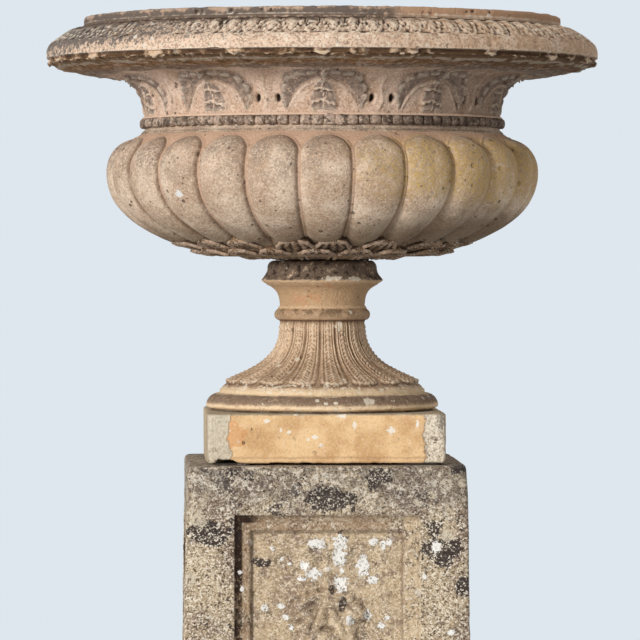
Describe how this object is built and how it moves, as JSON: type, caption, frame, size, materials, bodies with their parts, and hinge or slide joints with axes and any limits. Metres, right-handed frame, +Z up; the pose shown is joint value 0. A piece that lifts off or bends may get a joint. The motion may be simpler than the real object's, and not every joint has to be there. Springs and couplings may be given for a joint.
{
  "type": "garden urn on a pedestal",
  "caption": "Wide gadrooned bowl with a rolled rim, on a waisted foot and square plinth, standing on a tall square pedestal with sunk panels, for planting outdoors.",
  "frame": {"origin": "middle of the pedestal base's underside, on the ground", "axes": "+Z up, the front faces -Y, +X to the right seen from the front"},
  "size_m": [0.7526, 0.7526, 1.3182],
  "materials": {
    "pedestal_stone": "matte",
    "mortar": "matte",
    "urn_terracotta": "matte",
    "plinth_terracotta": "matte",
    "iron": "matte",
    "lead": "matte"
  },
  "bodies": {
    "pedestal": {"base_plinth": "pedestal_stone", "base_mortar_bed": "mortar", "die_dowel_left": "iron", "die_dowel_right": "iron", "pedestal_die": "pedestal_stone", "lead_packer_1": "lead", "lead_packer_2": "lead", "lead_packer_3": "lead", "lead_packer_4": "lead"},
    "urn": {"foot_plinth": "plinth_terracotta", "socle_bed": "mortar", "foot_socle": "urn_terracotta", "bowl_bed": "mortar", "bowl": "urn_terracotta", "tie_rod": "iron", "lead_washer": "lead", "iron_washer": "iron", "top_nut": "iron", "spreader_bar": "iron", "bottom_nut": "iron"}
  },
  "joints": [
    {"name": "urn_lift", "type": "slide", "parent": "pedestal", "child": "urn", "axis": [0, 0, 1], "range_m": [0, 0.15]}
  ]
}
